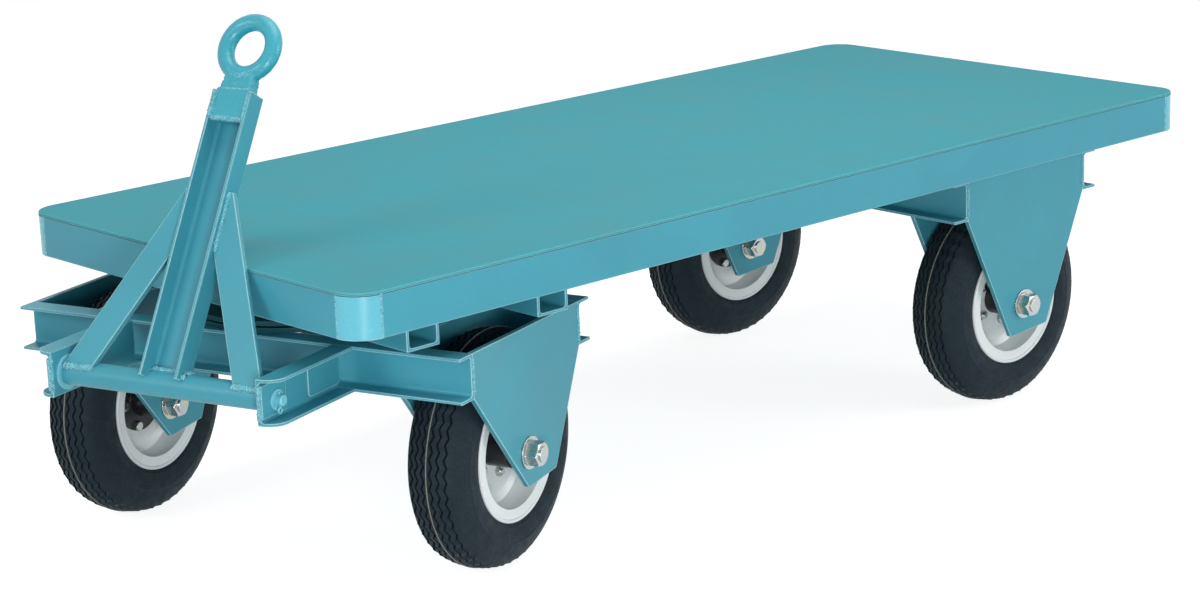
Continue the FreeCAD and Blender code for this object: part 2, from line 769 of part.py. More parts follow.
def all_nodes():
    nodes = {
        "deck_plate": (deck_plate(), on_deck),
        "side_rails": (side_rails(), on_deck),
        "end_rails": (end_rails(), on_deck),
        "deck_corners": (deck_corners(), on_deck),
        "deck_stringers": (deck_stringers(), on_deck),
        "deck_cross_members": (deck_cross_members(), on_deck),
        "rear_axle_channel_front": (frame_channel(-1, rear_channel_bottom), at_rear_frame),
        "rear_axle_channel_rear": (frame_channel(1, rear_channel_bottom), at_rear_frame),
        "rear_wheel_plates": (wheel_plates(skirt_bottom, rear_channel_bottom,
                                           rear_foot_front, rear_foot_back), at_rear_axle),
        "rear_axle_bolts": (axle_bolts(), at_rear_axle),
        "rear_axle_nuts": (axle_nuts(), at_rear_axle),
        "rear_axle_spacers": (axle_spacers(), at_rear_axle),
        "bolster_channels": (bolster_channels(), at_turntable),
        "turntable_upper_plate": (turntable_upper_plate(), at_turntable),
        "kingpin": (kingpin(), at_turntable),
        "kingpin_nut": (kingpin_nut(), at_turntable),
        "wear_ring": (wear_ring(), on_truck),
        "turntable_lower_plate": (turntable_lower_plate(), on_truck),
        "truck_channel_front": (frame_channel(-1, truck_bottom), on_truck),
        "truck_channel_rear": (frame_channel(1, truck_bottom), on_truck),
        "truck_rails": (truck_rails(), on_truck),
        "front_wheel_plates": (wheel_plates(truck_top, truck_bottom,
                                            front_foot_front, front_foot_back), at_front_axle),
        "front_axle_bolts": (axle_bolts(), at_front_axle),
        "front_axle_nuts": (axle_nuts(), at_front_axle),
        "front_axle_spacers": (axle_spacers(), at_front_axle),
        "drawbar_ear_left": (drawbar_ear(1), on_truck),
        "drawbar_ear_right": (drawbar_ear(-1), on_truck),
        "ear_plates": (ear_plates(), on_truck),
        "hinge_pin": (hinge_pin(), on_truck),
        "hinge_washers": (hinge_washers() + hinge_cotters(), on_truck),
        "pivot_tube": (pivot_tube(), on_drawbar),
        "pivot_bushings": (pivot_bushings(), on_drawbar),
        "tongue_channel": (tongue_channel(), on_drawbar),
        "brace_left": (brace(1), on_drawbar),
        "brace_right": (brace(-1), on_drawbar),
        "lunette_eye": (lunette_eye(), on_drawbar),
    }
    for axle_name, axle in (("front", at_front_axle), ("rear", at_rear_axle)):
        for side_name, side in (("left", 1), ("right", -1)):
            for piece_name, piece in wheel_parts().items():
                nodes["%s_%s_%s" % (axle_name, side_name, piece_name)] = (piece, wheel_place(axle, side))
    return nodes


os.makedirs("parts", exist_ok=True)
for name, (pieces, place) in all_nodes().items():
    moved(pieces, place).exportStep(os.path.join("parts", name + ".step"))
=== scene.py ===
import bpy
import bmesh
import json
import math
import random
from mathutils import Matrix, Vector, noise


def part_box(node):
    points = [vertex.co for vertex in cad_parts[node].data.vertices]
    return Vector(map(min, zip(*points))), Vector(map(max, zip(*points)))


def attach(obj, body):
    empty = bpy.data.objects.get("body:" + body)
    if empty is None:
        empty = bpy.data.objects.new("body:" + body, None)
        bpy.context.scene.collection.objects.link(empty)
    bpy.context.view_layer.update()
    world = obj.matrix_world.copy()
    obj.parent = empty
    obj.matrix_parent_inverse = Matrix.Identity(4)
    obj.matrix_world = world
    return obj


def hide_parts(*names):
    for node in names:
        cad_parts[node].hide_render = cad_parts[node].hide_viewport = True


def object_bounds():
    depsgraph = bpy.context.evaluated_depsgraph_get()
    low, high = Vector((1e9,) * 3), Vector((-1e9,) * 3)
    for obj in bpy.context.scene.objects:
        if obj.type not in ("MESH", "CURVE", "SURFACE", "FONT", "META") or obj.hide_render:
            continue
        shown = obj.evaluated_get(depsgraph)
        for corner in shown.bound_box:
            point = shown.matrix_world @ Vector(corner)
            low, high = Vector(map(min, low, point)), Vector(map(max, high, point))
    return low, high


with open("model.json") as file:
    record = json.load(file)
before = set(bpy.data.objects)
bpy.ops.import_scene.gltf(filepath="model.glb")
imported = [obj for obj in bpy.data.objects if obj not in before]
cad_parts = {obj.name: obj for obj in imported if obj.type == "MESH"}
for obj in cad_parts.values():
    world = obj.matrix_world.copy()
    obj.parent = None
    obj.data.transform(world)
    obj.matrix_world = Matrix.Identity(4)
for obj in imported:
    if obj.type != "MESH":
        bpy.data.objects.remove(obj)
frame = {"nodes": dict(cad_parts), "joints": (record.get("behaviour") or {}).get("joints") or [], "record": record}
packed_low, packed_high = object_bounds()

# ---- how the trailer stands ----
# It rests with its front truck steered and its drawbar leaning back against the deck. The joints
# and the towing eye's mount say where the truck, the drawbar and the four wheels have their own
# straight directions: x across, y along towards the rear, z up.
joints = {joint["name"]: joint for joint in frame["joints"]}
mounts = {mount["name"]: mount for mount in frame["record"]["mounts"]}
hinge_axis = joints["drawbar_hinge"]["axis"]
steered = math.atan2(hinge_axis[1], hinge_axis[0])
kingpin_x, kingpin_y, _ = joints["truck_steer"]["pos_m"]
truck = Matrix.Translation((kingpin_x, kingpin_y, 0)) @ Matrix.Rotation(steered, 4, "Z")
lean = math.asin(mounts["towing_eye"]["axis"][2])
drawbar = Matrix.Translation(joints["drawbar_hinge"]["pos_m"]) @ Matrix.Rotation(steered, 4, "Z")
drawbar = drawbar @ Matrix.Rotation(-lean, 4, "X")


def span(name, place=Matrix.Identity(4)):
    """A CAD piece's lowest and highest corners, measured along one body's own directions."""
    back = place.inverted()
    corners = [back @ vertex.co for vertex in frame["nodes"][name].data.vertices]
    low = Vector([min(corner[i] for corner in corners) for i in range(3)])
    high = Vector([max(corner[i] for corner in corners) for i in range(3)])
    return low, high


# ---- deck plate ----
# A flat steel sheet that closes the top of the frame, sprayed with the same blue-green enamel as
# the rest. On this wide flat face the enamel is satin, with soft cloudy patches from the spray.
def add(tree, kind, settings=None, **sockets):
    """Puts one shader node in a tree. A socket is named in lower case, or in_0, in_1 by number."""
    made = tree.nodes.new("ShaderNode" + kind)
    for name, value in (settings or {}).items():
        setattr(made, name, value)
    for name, value in sockets.items():
        if name.startswith("in_"):
            socket = made.inputs[int(name[3:])]
        else:
            wanted = name.replace("_", " ")
            socket = [each for each in made.inputs if each.name.lower() == wanted][0]
        if isinstance(value, bpy.types.NodeSocket):
            tree.links.new(value, socket)
        else:
            socket.default_value = value
    return made


def maths(tree, operation, first, second=0.0):
    return add(tree, "Math", {"operation": operation}, in_0=first, in_1=second).outputs[0]


def blend(tree, share, first, second):
    """A colour between two colours."""
    return add(tree, "Mix", {"data_type": "RGBA"}, in_0=share, in_6=first, in_7=second).outputs[2]


def spread(tree, value, low, high, to_low=0.0, to_high=1.0):
    """A value moved from one range to another and held at its ends."""
    return add(tree, "MapRange", in_0=value, in_1=low, in_2=high, in_3=to_low, in_4=to_high).outputs[0]


def clouds(tree, scale, detail=2.0):
    """Noise with so many patches to a metre, fixed to the piece."""
    where = add(tree, "TexCoord").outputs["Object"]
    return add(tree, "TexNoise", vector=where, scale=scale, detail=detail).outputs[0]


def effect(name, inputs, outputs):
    """An empty shader node group with named inputs and outputs."""
    tree = bpy.data.node_groups.new(name, "ShaderNodeTree")
    for title, value in inputs.items():
        kind = "NodeSocketFloat" if isinstance(value, float) else "NodeSocketColor"
        tree.interface.new_socket(title, in_out="INPUT", socket_type=kind).default_value = value
    for title, kind in outputs.items():
        tree.interface.new_socket(title, in_out="OUTPUT", socket_type="NodeSocket" + kind)
    return tree, tree.nodes.new("NodeGroupInput").outputs, tree.nodes.new("NodeGroupOutput").inputs


def use(tree, group, **sockets):
    """Places a node group in a material and returns its outputs."""
    return add(tree, "Group", {"node_tree": group}, **sockets).outputs


def finish(name):
    """A new material with one Principled shader."""
    made = bpy.data.materials.new(name)
    made.use_nodes = True
    tree = made.node_tree
    tree.nodes.clear()
    shader = add(tree, "BsdfPrincipled")
    add(tree, "OutputMaterial", surface=shader.outputs[0])
    return made, tree, shader


def coat(material, *names):
    """Gives CAD pieces their finish."""
    for name in names:
        piece = frame["nodes"][name]
        if not piece.material_slots:
            piece.data.materials.append(material)
        for place in piece.material_slots:
            place.material = material


# The Edge mask is 1 where the bevelled normal turns away from the surface's own normal, at outer and inner edges
# alike. The enamels mix towards a lighter edge tint there: a painted highlight along every edge.
soft_edges, given, result = effect("soft_edges", {"Radius": 0.002}, {"Normal": "Vector", "Edge": "Float"})
rounded = add(soft_edges, "Bevel", {"samples": 6}, radius=given["Radius"]).outputs[0]
facing = add(soft_edges, "NewGeometry").outputs["Normal"]
turned = add(soft_edges, "VectorMath", {"operation": "DOT_PRODUCT"}, in_0=rounded, in_1=facing)
soft_edges.links.new(rounded, result["Normal"])
soft_edges.links.new(spread(soft_edges, turned.outputs["Value"], 0.995, 0.86), result["Edge"])

enamel_film, given, result = effect(
    "enamel_film",
    {"Color": (0.1, 0.4, 0.5, 1), "Edge Color": (0.3, 0.6, 0.7, 1), "Edge": 0.0, "Mottle": 0.1,
     "Grain": 0.1, "Roughness": 0.5},
    {"Color": "Color", "Roughness": "Float", "Height": "Float"})
patches = maths(enamel_film, "SUBTRACT", clouds(enamel_film, 7.0, 4.0), 0.5)
specks = maths(enamel_film, "SUBTRACT", clouds(enamel_film, 620.0, 1.0), 0.5)
cloudy = maths(enamel_film, "MULTIPLY_ADD", specks, given["Grain"])
cloudy.node.inputs[2].default_value = 1.0
strength = maths(enamel_film, "MULTIPLY_ADD", patches, given["Mottle"])
enamel_film.links.new(cloudy, strength.node.inputs[2])
tinted = add(enamel_film, "VectorMath", {"operation": "SCALE"}, in_0=given["Color"], in_3=strength).outputs[0]
# Along the edges the colour turns to the lighter edge tint: a painted highlight.
enamel_film.links.new(blend(enamel_film, given["Edge"], tinted, given["Edge Color"]), result["Color"])
dulled = maths(enamel_film, "MULTIPLY_ADD", patches, 0.35)
enamel_film.links.new(given["Roughness"], dulled.node.inputs[2])
enamel_film.links.new(dulled, result["Roughness"])
peel = maths(enamel_film, "MULTIPLY_ADD", clouds(enamel_film, 260.0), 1.0)
enamel_film.links.new(specks, peel.node.inputs[2])
enamel_film.links.new(peel, result["Height"])


def enamel(name, colour, edge_highlight_colour, roughness, radius=0.0035, mottle=0.25, grain=0.25, peel=0.25, gloss=0.3,
           depth=0.0004):
    """Sprayed enamel on steel: cloudy, faintly pebbled, and lighter along every edge, a painted highlight."""
    paint, tree, shader = finish(name)
    edges = use(tree, soft_edges, radius=radius)
    film = use(tree, enamel_film, color=(*colour, 1), edge_color=(*edge_highlight_colour, 1), edge=edges["Edge"],
               mottle=mottle, grain=grain, roughness=roughness)
    bump = add(tree, "Bump", strength=peel, distance=depth, height=film["Height"], normal=edges["Normal"])
    tree.links.new(film["Color"], shader.inputs["Base Color"])
    tree.links.new(film["Roughness"], shader.inputs["Roughness"])
    tree.links.new(bump.outputs[0], shader.inputs["Normal"])
    shader.inputs["Specular IOR Level"].default_value = gloss
    return paint


deck_enamel = enamel("deck_enamel", (0.062, 0.372, 0.436), (0.48, 0.92, 0.98), 0.62, radius=0.0025,
                     mottle=0.35, grain=0.22, peel=0.2, gloss=0.15)
coat(deck_enamel, "deck_plate")

# ---- deck frame ----
# Pressed rails run round the deck under the plate, with bent corner pieces between their ends.
# Channels run along and across underneath. All of it is welded, and the seams are left rough except
# across the rear end, where they are dressed flush.
frame_enamel = enamel("frame_enamel", (0.066, 0.374, 0.480), (0.60, 0.97, 1.0), 0.36)
# The corner pieces take a lighter, glossier copy of the frame enamel: a painted highlight on their rounded faces.
corner_highlight_enamel = enamel("corner_highlight_enamel", (0.12, 0.56, 0.70), (0.60, 0.97, 1.0), 0.22, gloss=0.7)
# The welds take a lighter copy of the frame enamel, near-white at their edges and strongly speckled light and
# dark: painted highlights standing in for glints on the rippled beads.
weld_highlight_enamel = enamel("weld_highlight_enamel", (0.17, 0.62, 0.74), (0.52, 0.96, 1.0), 0.14, radius=0.0004,
                     grain=2.4, peel=1.0, gloss=0.8, depth=0.0026)
coat(frame_enamel, "side_rails", "end_rails", "deck_stringers", "deck_cross_members")
coat(corner_highlight_enamel, "deck_corners")

chance = random.Random(7)
end_stand = 0.0002  # how far a weld or joint may stand outside either end of the trailer


def skin(metal, rings):
    """Joins each ring of vertices to the next with four-sided faces."""
    for first, second in zip(rings, rings[1:]):
        for turn in range(len(first)):
            metal.faces.new((first[turn], first[turn - 1], second[turn - 1], second[turn]))


def bead(metal, points, width, step=0.0016):
    """Lays one weld bead in a mesh: a lumpy rope of metal that follows the joint."""
    points = [Vector(point) for point in points]
    lengths = [(second - first).length for first, second in zip(points, points[1:])]
    count = max(6, int(sum(lengths) / step))
    rings = []
    for number in range(count + 1):
        along = sum(lengths) * number / count
        leg = 0
        rest = along
        while leg < len(lengths) - 1 and rest > lengths[leg]:
            rest -= lengths[leg]
            leg += 1
        direction = (points[leg + 1] - points[leg]).normalized()
        middle = points[leg] + direction * rest
        side = direction.orthogonal().normalized()
        other = direction.cross(side)
        ripple = 1 + 0.24 * math.cos(2 * math.pi * along / 0.0046) + chance.uniform(-0.2, 0.2)
        taper = 0.55 if number in (0, count) else 1.0
        middle = middle + side * chance.uniform(-0.05, 0.05) * width
        ring = []
        for turn in range(8):
            angle = math.pi * turn / 4
            reach = width / 2 * ripple * taper * (1 + chance.uniform(-0.07, 0.07))
            ring.append(metal.verts.new(middle + (side * math.cos(angle) + other * math.sin(angle)) * reach))
        rings.append(ring)
    skin(metal, rings)
    metal.faces.new(rings[0])
    metal.faces.new(list(reversed(rings[-1])))


def built(name, metal, material, body, place=Matrix.Identity(4), smooth=True):
    """Turns a mesh in one body's directions into a piece that rides on that body. A weld at either
    end of the trailer is dressed flush with it."""
    bmesh.ops.recalc_face_normals(metal, faces=metal.faces)
    if smooth:
        for face in metal.faces:
            face.smooth = True
    bmesh.ops.transform(metal, matrix=place, verts=metal.verts)
    for vertex in metal.verts:
        vertex.co.y = min(max(vertex.co.y, packed_low[1] - end_stand), packed_high[1] + end_stand)
    mesh = bpy.data.meshes.new(name)
    metal.to_mesh(mesh)
    metal.free()
    mesh.materials.append(material)
    piece = bpy.data.objects.new(name, mesh)
    bpy.context.collection.objects.link(piece)
    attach(piece, body)
    return piece


side_low, side_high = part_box("side_rails")
end_low, end_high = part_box("end_rails")
deck_low, deck_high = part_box("deck_plate")
seam_width = 0.0070
seam_inset = 0.0026
seam_top = deck_high[2] - 0.004
seams = bmesh.new()
for x, way in ((side_low[0], -1), (side_high[0], 1)):
    inside = x - way * seam_inset
    for y in (side_low[1], side_high[1]):
        bead(seams, [(inside, y, side_low[2] + 0.002), (inside, y, seam_top)], seam_width)
for y, way in ((end_low[1], -1), (end_high[1], 1)):
    inside = y - way * seam_inset
    for x in (end_low[0], end_high[0]):
        bead(seams, [(x, inside, end_low[2] + 0.002), (x, inside, seam_top)], seam_width)
built("deck_corner_welds", seams, weld_highlight_enamel, "root")

# ---- plate joint ----
# The thin dark line where the deck plate sits on the rails, all the way round the frame and its
# rounded corners. It is a strip in a darkened copy of the enamel, painted shade for the narrow gap there.
# A copy of the frame enamel at about a quarter of its brightness: painted shade.
shaded_enamel = enamel("shaded_enamel", (0.018, 0.100, 0.120), (0.04, 0.19, 0.23), 0.5, gloss=0.15)
corner_radius = side_low[1] - deck_low[1]
outline = []
for x_sign, y_sign, start in ((1, 1, 0), (-1, 1, 90), (-1, -1, 180), (1, -1, 270)):
    middle = (x_sign * (deck_high[0] - corner_radius),
              (deck_high[1] - corner_radius) if y_sign > 0 else (deck_low[1] + corner_radius))
    for step in range(13):
        angle = math.radians(start + 7.5 * step)
        outline.append((middle, (math.cos(angle), math.sin(angle))))
plate_under = deck_low[2]
joint_foot = plate_under - 0.0012
joint_back = -0.001
gap_shade_strip = bmesh.new()
loops = []
for proud, z in ((end_stand, joint_foot), (end_stand, plate_under), (joint_back, plate_under),
                 (joint_back, joint_foot)):
    reach = corner_radius + proud
    loops.append([gap_shade_strip.verts.new((middle[0] + way[0] * reach, middle[1] + way[1] * reach, z))
                  for middle, way in outline])
skin(gap_shade_strip, loops + loops[:1])
built("deck_edge_shade_line", gap_shade_strip, shaded_enamel, "root", smooth=False)

# ---- rear axle ----
# Two channels under the stringers carry four hanging plates, two beside each rear wheel. A long
# bolt through each pair is the axle. The bolts, washers and nuts are zinc plated.
plate_enamel = enamel("plate_enamel", (0.066, 0.366, 0.462), (0.62, 0.98, 1.0), 0.36)
coat(frame_enamel, "rear_axle_channel_front", "rear_axle_channel_rear")
coat(plate_enamel, "rear_wheel_plates")


def plate_welds(name, plates, channel, body, place=Matrix.Identity(4)):
    """Upright beads where the hanging plates meet the webs of the two cross channels."""
    plates_low, plates_high = span(plates, place)
    channel_low, channel_high = span(channel, place)
    metal = bmesh.new()
    back = place.inverted()
    steel = frame["nodes"][plates].data.vertices
    across = sorted({round((back @ vertex.co).x, 4) for vertex in steel})
    for x in (across[0], across[-1]):
        for y in (plates_low.y, plates_high.y):
            bead(metal, [(x, y, channel_low.z + 0.006), (x, y, channel_high.z - 0.006)], 0.0056, 0.0024)
    built(name, metal, weld_highlight_enamel, body, place)


plate_welds("rear_plate_welds", "rear_wheel_plates", "rear_axle_channel_front", "root")

zinc, tree, shader = finish("zinc")
edges = use(tree, soft_edges, radius=0.0012)
blush = spread(tree, clouds(tree, 55.0, 3.0), 0.52, 0.74)
tone = blend(tree, blush, (0.44, 0.48, 0.48, 1), (0.56, 0.52, 0.30, 1))
# Along the edges the zinc turns a pale near-white: a painted highlight.
tone = blend(tree, edges["Edge"], tone, (0.86, 0.88, 0.85, 1))
tree.links.new(tone, shader.inputs["Base Color"])
tree.links.new(spread(tree, clouds(tree, 300.0, 3.0), 0.3, 0.7, 0.16, 0.42), shader.inputs["Roughness"])
scuffs = add(tree, "Bump", strength=0.3, distance=0.0003, height=clouds(tree, 900.0), normal=edges["Normal"])
tree.links.new(scuffs.outputs[0], shader.inputs["Normal"])
shader.inputs["Metallic"].default_value = 1.0
coat(zinc, "rear_axle_bolts", "rear_axle_nuts")

bearing_metal, tree, shader = finish("bearing_metal")
edges = use(tree, soft_edges, radius=0.0008)
tree.links.new(blend(tree, clouds(tree, 90.0, 3.0), (0.36, 0.36, 0.35, 1), (0.60, 0.60, 0.58, 1)),
               shader.inputs["Base Color"])
tree.links.new(spread(tree, clouds(tree, 500.0), 0.3, 0.7, 0.22, 0.45), shader.inputs["Roughness"])
tree.links.new(edges["Normal"], shader.inputs["Normal"])
shader.inputs["Metallic"].default_value = 1.0
coat(bearing_metal, "rear_axle_spacers")

# ---- turntable ----
# Two bolster channels cross the frame over the truck and carry the upper turntable plate. The
# truck turns under it on a kingpin, with a plastic wear ring between the plates.
coat(frame_enamel, "bolster_channels")
# The turntable plates between the bolster and the truck take the darkened copy of the enamel: painted shade under
# the deck.
coat(shaded_enamel, "turntable_upper_plate", "turntable_lower_plate")
coat(zinc, "kingpin_nut")
# The kingpin, hinge pin and washers take a lighter, glossier copy of the frame enamel: a painted highlight.
hinge_highlight_enamel = enamel("hinge_highlight_enamel", (0.20, 0.64, 0.76), (0.70, 0.98, 1.0), 0.25, radius=0.0012, gloss=0.6)
coat(hinge_highlight_enamel, "kingpin")

wear_plastic, tree, shader = finish("wear_plastic")
scratches = clouds(tree, 420.0, 4.0)
scuffed = blend(tree, scratches, (0.012, 0.012, 0.013, 1), (0.06, 0.06, 0.06, 1))
tree.links.new(scuffed, shader.inputs["Base Color"])
tree.links.new(add(tree, "Bump", strength=0.3, distance=0.0004, height=scratches).outputs[0],
               shader.inputs["Normal"])
shader.inputs["Roughness"].default_value = 0.55
coat(wear_plastic, "wear_ring")

# ---- front truck ----
# A welded square of channels with hanging plates for the front wheels, the same as at the rear,
# but steered as one. Welds show where the plates meet the channels.
coat(frame_enamel, "truck_channel_front", "truck_channel_rear", "truck_rails")
coat(plate_enamel, "front_wheel_plates")
plate_welds("front_plate_welds", "front_wheel_plates", "truck_channel_front", "truck", truck)
coat(zinc, "front_axle_bolts", "front_axle_nuts")
coat(bearing_metal, "front_axle_spacers")

# ---- drawbar ears and hinge ----
# Two channel stubs stick out of the truck's front channel. A pin through both carries the drawbar's
# tube, held by washers and split pins. A plate with a doubler stiffens each ear round the pin.
coat(plate_enamel, "drawbar_ear_left", "drawbar_ear_right", "ear_plates")
coat(hinge_highlight_enamel, "hinge_pin", "hinge_washers")
ear_low, ear_high = span("drawbar_ear_right", truck)
plates_low, plates_high = span("ear_plates", truck)
ear_web = -ear_high.x
ear_welds = bmesh.new()
nose = ear_low.y + 0.0024
for side in (-1, 1):
    face = side * (ear_web + 0.005)
    for y in (plates_low.y, plates_high.y):
        bead(ear_welds, [(face, y, plates_low.z), (face, y, plates_high.z)], 0.0085)
    middle = side * (ear_web + 0.0025)
    bead(ear_welds, [(middle, nose, ear_low.z + 0.006), (middle, nose, ear_high.z - 0.006)], 0.0080)
built("ear_welds", ear_welds, weld_highlight_enamel, "truck", truck)

# ---- drawbar ----
# A channel with its toes forward stands on a cross tube, with a flat brace each side from the tube
# to the channel's flank. Heavy welds hold them. Bronze bushings line the tube's ends.
coat(plate_enamel, "tongue_channel", "brace_left", "brace_right", "pivot_tube")
bronze, tree, shader = finish("bronze")
tree.links.new(blend(tree, clouds(tree, 80.0, 3.0), (0.42, 0.26, 0.10, 1), (0.70, 0.48, 0.22, 1)),
               shader.inputs["Base Color"])
tree.links.new(spread(tree, clouds(tree, 400.0), 0.3, 0.7, 0.25, 0.5), shader.inputs["Roughness"])
shader.inputs["Metallic"].default_value = 1.0
coat(bronze, "pivot_bushings")

tongue_low, tongue_high = span("tongue_channel", drawbar)
brace_low, brace_high = span("brace_right", drawbar)
tube_radius = span("pivot_tube", drawbar)[1].z
tongue_edge = tongue_high.x
drawbar_welds = bmesh.new()


def round_tube(x, y, lift=0.0006):
    """A point on the top of the cross tube."""
    reach = tube_radius + lift
    return (x, y, math.sqrt(max(0.0, reach * reach - y * y)))


brace_steel = frame["nodes"]["brace_right"].data.vertices
brace_corners = [drawbar.inverted() @ vertex.co for vertex in brace_steel]
foot_x = sorted(abs(corner.x) for corner in brace_corners if corner.z < brace_low.z + 0.006)
meeting = [corner.z for corner in brace_corners if abs(abs(corner.x) - tongue_edge) < 0.001]
bead(drawbar_welds, [round_tube(-0.034, -0.004), round_tube(0.034, -0.004)], 0.011)
for side in (-1, 1):
    x = side * (tongue_edge + 0.002)
    bead(drawbar_welds, [round_tube(x, y) for y in (0.006, -0.002, -0.010, -0.016, -0.0205)], 0.011)
    for y in (brace_low.y + 0.0005, brace_high.y - 0.0005):
        bead(drawbar_welds, [(side * (tongue_edge + 0.0015), y, min(meeting)),
                             (side * (tongue_edge + 0.0015), y, max(meeting))], 0.0095)
    foot_y = brace_low.y + 0.0015
    bead(drawbar_welds, [(side * (foot_x[0] - 0.002), foot_y, brace_low.z + 0.001),
                         (side * (foot_x[-1] - 0.002), foot_y, brace_low.z + 0.001)], 0.0115)
    bead(drawbar_welds, [round_tube(side * foot_x[0], -0.010), round_tube(side * foot_x[-1], -0.010)], 0.009)
built("drawbar_welds", drawbar_welds, weld_highlight_enamel, "drawbar", drawbar)

# ---- towing eye ----
# A forged ring with a flat shank that lies in the top of the channel and is welded in. The ring's
# bore is machined, and the forging is left with its rounded, pebbled skin under the paint.
eye_enamel = enamel("eye_enamel", (0.045, 0.42, 0.53), (0.15, 0.62, 0.74), 0.26, grain=0.5, peel=0.5,
                    gloss=0.5)
eye_low, eye_high = span("lunette_eye", drawbar)
eye_middle = drawbar.inverted() @ Vector(mounts["towing_eye"]["pos_m"])
half_section = (eye_high.y - eye_low.y) / 2
ring_radius = eye_high.x - half_section
channel_inside = tongue_edge - 0.0055
shank_top = tongue_high.z + 0.003
shank_foot = tongue_high.z - 0.048
forging = bmesh.new()
rings = []
for number in range(64):
    angle = 2 * math.pi * number / 64
    way = Vector((math.cos(angle), 0, math.sin(angle)))
    ring = []
    for turn in range(24):
        around = 2 * math.pi * turn / 24
        reach = ring_radius + half_section * math.cos(around)
        depth = Vector((0, half_section * math.sin(around), 0))
        ring.append(forging.verts.new(eye_middle + way * reach + depth))
    rings.append(ring)
for number in range(64):
    for turn in range(24):
        forging.faces.new((rings[number][turn], rings[number][turn - 1], rings[number - 1][turn - 1],
                           rings[number - 1][turn]))


def forged_block(metal, levels):
    """A solid between level rectangles, each given as half width, front, back and height."""
    loops = []
    for half_width, front, back, height in levels:
        loops.append([metal.verts.new((x, y, height)) for x, y in (
            (-half_width, front), (half_width, front), (half_width, back), (-half_width, back))])
    skin(metal, loops)
    metal.faces.new(loops[0])
    metal.faces.new(list(reversed(loops[-1])))


neck_front = eye_low.y + 0.001
neck_back = eye_high.y - 0.001
forged_block(forging, [(0.0295, neck_front - 0.001, neck_back, shank_top - 0.004),
                       (0.0285, neck_front, neck_back, shank_top + 0.014),
                       (0.0265, neck_front + 0.003, neck_back - 0.003, eye_middle.z - ring_radius + 0.002)])
forged_block(forging, [(channel_inside, tongue_low.y + 0.0015, tongue_high.y - 0.0052, shank_foot),
                       (channel_inside, tongue_low.y + 0.0015, tongue_high.y - 0.0052, shank_top)])
bmesh.ops.recalc_face_normals(forging, faces=forging.faces)
rough_mesh = bpy.data.meshes.new("rough_forging")
forging.to_mesh(rough_mesh)
forging.free()
rough = bpy.data.objects.new("rough_forging", rough_mesh)
bpy.context.collection.objects.link(rough)
melt = rough.modifiers.new("melt", "REMESH")
melt.mode = "VOXEL"
melt.voxel_size = 0.0016
ease = rough.modifiers.new("ease", "SMOOTH")
ease.iterations = 5
forged = bmesh.new()
forged.from_object(rough, bpy.context.evaluated_depsgraph_get())
bpy.data.objects.remove(rough)
forged.normal_update()
for vertex in forged.verts:
    pebbled = max(0.0, 1 - abs(vertex.co.z - (shank_top + 0.018)) / 0.022)
    swell = 0.0016 * pebbled + 0.00025
    vertex.co += vertex.normal * swell * (noise.noise(vertex.co * 330) - 0.2)
eye = built("towing_eye", forged, eye_enamel, "drawbar", drawbar)
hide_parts("lunette_eye")
eye_welds = bmesh.new()
front = tongue_low.y + 0.0015
bead(eye_welds, [(-channel_inside, front, shank_foot), (-channel_inside, front, shank_top - 0.004)], 0.0095)
bead(eye_welds, [(channel_inside, front, shank_foot), (channel_inside, front, shank_top - 0.004)], 0.006)
bead(eye_welds, [(-channel_inside, front + 0.003, shank_foot), (channel_inside, front + 0.003, shank_foot)],
     0.0095)
bead(eye_welds, [(-0.030, neck_front - 0.001, shank_top), (0.030, neck_front - 0.001, shank_top)], 0.005)
built("eye_welds", eye_welds, weld_highlight_enamel, "drawbar", drawbar)

# ---- wheels ----
# Each wheel is a pneumatic tyre on a split pressed rim, bolted through the flange of a black hub.
# The hub turns on the axle bolt on two bearings. The rims' edges are rolled into lips.
wheels = {}
for end in ("front", "rear"):
    for side in ("left", "right"):
        joint = joints[f"{end}_{side}_spin"]
        facing_out = math.atan2(joint["axis"][1], joint["axis"][0]) + (math.pi if side == "right" else 0)
        wheels[f"{end}_{side}"] = Matrix.Translation(joint["pos_m"]) @ Matrix.Rotation(facing_out, 4, "Z")

rubber, tree, shader = finish("rubber")
pores = clouds(tree, 1300.0, 2.0)
shade = blend(tree, clouds(tree, 22.0, 4.0), (0.006, 0.014, 0.020, 1), (0.014, 0.028, 0.037, 1))
shade = blend(tree, spread(tree, pores, 0.56, 0.74, 0.0, 0.6), shade, (0.09, 0.13, 0.15, 1))
tree.links.new(shade, shader.inputs["Base Color"])
tree.links.new(spread(tree, clouds(tree, 60.0, 3.0), 0.3, 0.7, 0.52, 0.72), shader.inputs["Roughness"])
dimples = add(tree, "Bump", strength=0.5, distance=0.0005, height=pores)
tree.links.new(dimples.outputs[0], shader.inputs["Normal"])
shader.inputs["Specular IOR Level"].default_value = 0.14

pale_flash, tree, shader = finish("pale_flash")
tree.links.new(blend(tree, clouds(tree, 200.0, 3.0), (0.10, 0.12, 0.10, 1), (0.34, 0.34, 0.26, 1)),
               shader.inputs["Base Color"])
shader.inputs["Roughness"].default_value = 0.6

rim_white = enamel("rim_white", (0.88, 0.93, 0.93), (0.92, 0.94, 0.94), 0.26, radius=0.0015, mottle=0.05,
                   grain=0.04, peel=0.1, gloss=0.5)
hub_black = enamel("hub_black", (0.010, 0.011, 0.013), (0.10, 0.11, 0.12), 0.34, radius=0.0015, mottle=0.5,
                   grain=0.5, peel=0.4, gloss=0.5)


